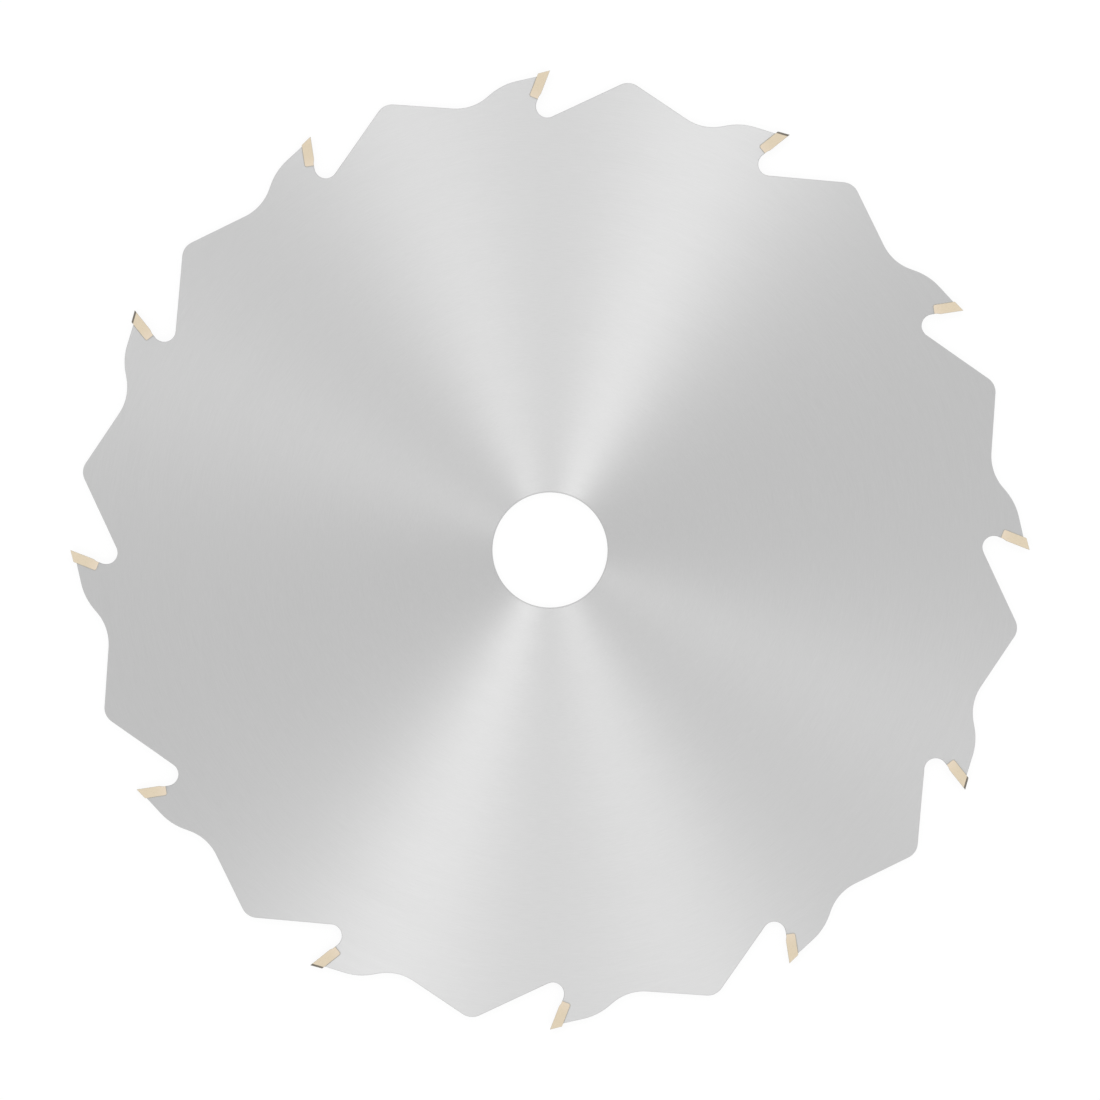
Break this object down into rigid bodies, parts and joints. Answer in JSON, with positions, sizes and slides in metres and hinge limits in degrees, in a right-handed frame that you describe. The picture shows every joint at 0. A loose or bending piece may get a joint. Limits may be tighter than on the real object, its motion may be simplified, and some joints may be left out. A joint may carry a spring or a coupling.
{
  "type": "circular saw blade",
  "caption": "Flat round saw blade: ground steel plate with a plain arbor bore, hooked carbide-tipped teeth, deep gullets and kickback-limiting humps, for rip cuts in timber.",
  "frame": {"origin": "centre of the arbor bore, halfway through the plate", "axes": "+Z along the arbor, out of the face that the picture shows; +Y through the cutting corner of the first tooth; seen from +Z the teeth lead clockwise"},
  "size_m": [0.25, 0.25, 0.0032],
  "materials": {
    "ground_steel": "ground in circles about the bore, satin",
    "carbide": "pale gold satin sides, dark ground cutting edges",
    "silver_solder": "dull, slightly warm grey"
  },
  "bodies": {
    "root": {"saw_plate": "ground_steel", "carbide_tip_01": "carbide", "carbide_tip_02": "carbide", "carbide_tip_03": "carbide", "carbide_tip_04": "carbide", "carbide_tip_05": "carbide", "carbide_tip_06": "carbide", "carbide_tip_07": "carbide", "carbide_tip_08": "carbide", "carbide_tip_09": "carbide", "carbide_tip_10": "carbide", "carbide_tip_11": "carbide", "carbide_tip_12": "carbide", "braze_joint_01": "silver_solder", "braze_joint_02": "silver_solder", "braze_joint_03": "silver_solder", "braze_joint_04": "silver_solder", "braze_joint_05": "silver_solder", "braze_joint_06": "silver_solder", "braze_joint_07": "silver_solder", "braze_joint_08": "silver_solder", "braze_joint_09": "silver_solder", "braze_joint_10": "silver_solder", "braze_joint_11": "silver_solder", "braze_joint_12": "silver_solder"}
  },
  "joints": []
}
